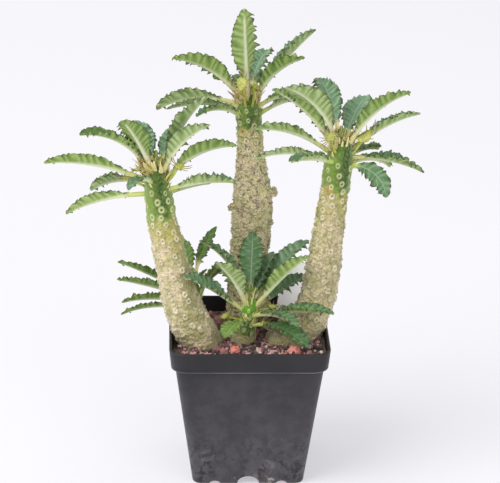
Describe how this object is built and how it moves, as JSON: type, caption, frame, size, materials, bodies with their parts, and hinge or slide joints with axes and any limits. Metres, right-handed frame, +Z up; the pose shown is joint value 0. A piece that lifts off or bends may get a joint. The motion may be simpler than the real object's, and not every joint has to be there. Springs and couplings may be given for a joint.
{
  "type": "potted dorstenia lavranii",
  "caption": "Caudex houseplant with thick scarred stems, crowns of toothed folded leaves and young offsets, standing in a square black nursery pot of lava gravel.",
  "frame": {"origin": "centre of the pot's underside, on its middle foot pad", "axes": "+Z up; +X to the right of the front view; +Y away from the front view"},
  "size_m": [0.2365, 0.1249, 0.2981],
  "materials": {
    "pot": "satin black moulded plastic",
    "soil": "coarse matte lava gravel",
    "bark": "matte living bark with leaf scars",
    "leaf": "firm leaf, slight sheen",
    "bloom": "soft flower tissue",
    "label": "smooth white plastic",
    "red_lava": "matte porous stone",
    "dark_lava": "matte porous stone"
  },
  "bodies": {
    "root": {"pot": "pot", "soil": "soil", "plant_label": "label", "red_chip_front": "red_lava", "red_chip_right": "red_lava", "dark_stone": "dark_lava", "left_trunk": "bark", "left_crown": "leaf", "left_bloom_1": "bloom", "left_bloom_2": "bloom", "left_bloom_3": "bloom", "centre_trunk": "bark", "centre_crown": "leaf", "centre_bloom_1": "bloom", "centre_bloom_2": "bloom", "right_trunk": "bark", "right_crown": "leaf", "right_bloom_1": "bloom", "right_bloom_2": "bloom", "front_offset_trunk": "bark", "front_offset_crown": "leaf", "front_offset_bloom_1": "bloom", "front_offset_bloom_2": "bloom", "front_offset_bloom_3": "bloom", "back_offset_trunk": "bark", "back_offset_crown": "leaf"}
  },
  "joints": []
}
